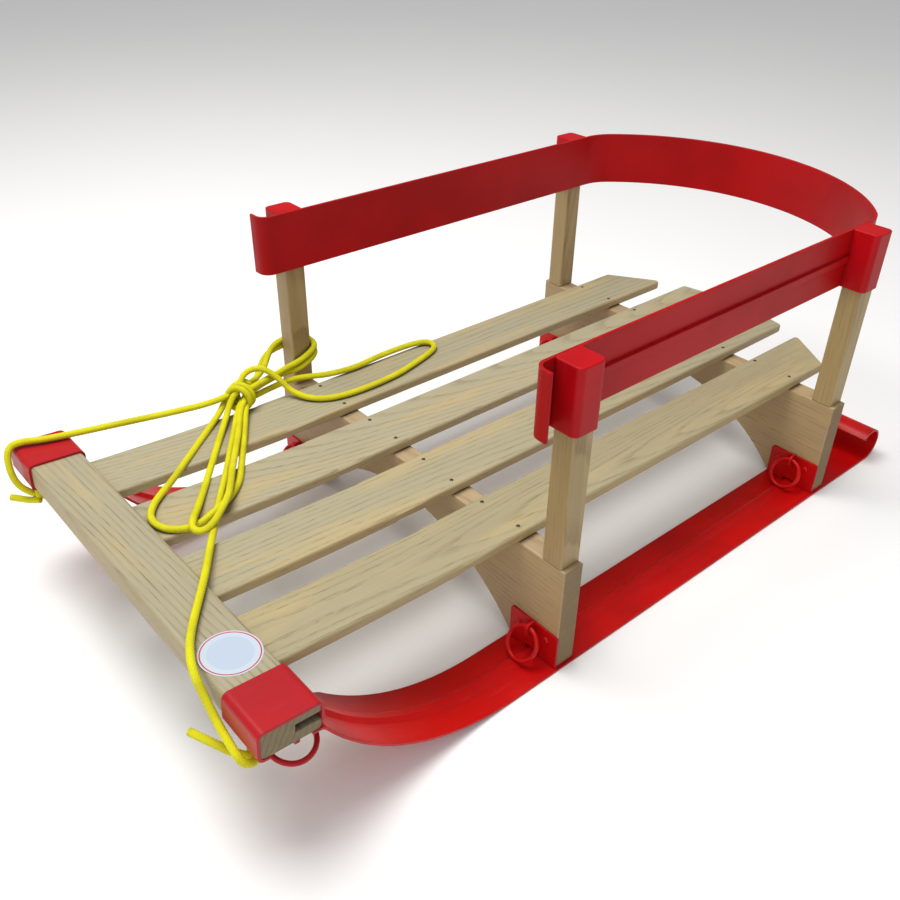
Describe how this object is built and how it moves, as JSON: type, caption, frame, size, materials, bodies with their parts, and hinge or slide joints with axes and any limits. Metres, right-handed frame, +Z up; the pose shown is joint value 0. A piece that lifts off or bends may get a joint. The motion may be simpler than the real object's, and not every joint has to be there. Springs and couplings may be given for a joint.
{
  "type": "child's pull sled",
  "caption": "Low wooden sled on two bent steel runners, with a slatted deck, a rail round the seat, lashing rings and a pulling rope.",
  "frame": {"origin": "middle of the sled's length and width, without its rope, on the floor under the runners", "axes": "+X the direction of travel, +Y the left side, +Z up"},
  "size_m": [0.738, 0.3756, 0.2574],
  "materials": {
    "wood": "clear satin varnish on pale ash",
    "red_plastic": "smooth moulded plastic",
    "red_metal": "gloss paint on sheet steel",
    "rope": "braided rope"
  },
  "bodies": {
    "root": {"crossbar": "wood", "slat_1": "wood", "slat_2": "wood", "slat_3": "wood", "slat_4": "wood", "bunk_front": "wood", "bunk_rear": "wood", "post_front_left": "wood", "cap_front_left": "red_plastic", "bracket_front_left": "red_metal", "ring_front_left": "red_metal", "post_rear_left": "wood", "cap_rear_left": "red_plastic", "bracket_rear_left": "red_metal", "ring_rear_left": "red_metal", "runner_left": "red_metal", "bar_lug_left": "red_metal", "bar_ring_left": "red_metal", "rope_hitch_left": "rope", "rope_lead_left": "rope", "rope_tail_left": "rope", "post_front_right": "wood", "cap_front_right": "red_plastic", "bracket_front_right": "red_metal", "ring_front_right": "red_metal", "post_rear_right": "wood", "cap_rear_right": "red_plastic", "bracket_rear_right": "red_metal", "ring_rear_right": "red_metal", "runner_right": "red_metal", "bar_lug_right": "red_metal", "bar_ring_right": "red_metal", "rope_hitch_right": "rope", "rope_lead_right": "rope", "rope_tail_right": "rope", "rail": "red_plastic", "rope_hank": "rope", "rope_knot": "rope", "rope_loop": "rope", "rope_wrap_upper": "rope", "rope_wrap_lower": "rope"}
  },
  "joints": []
}
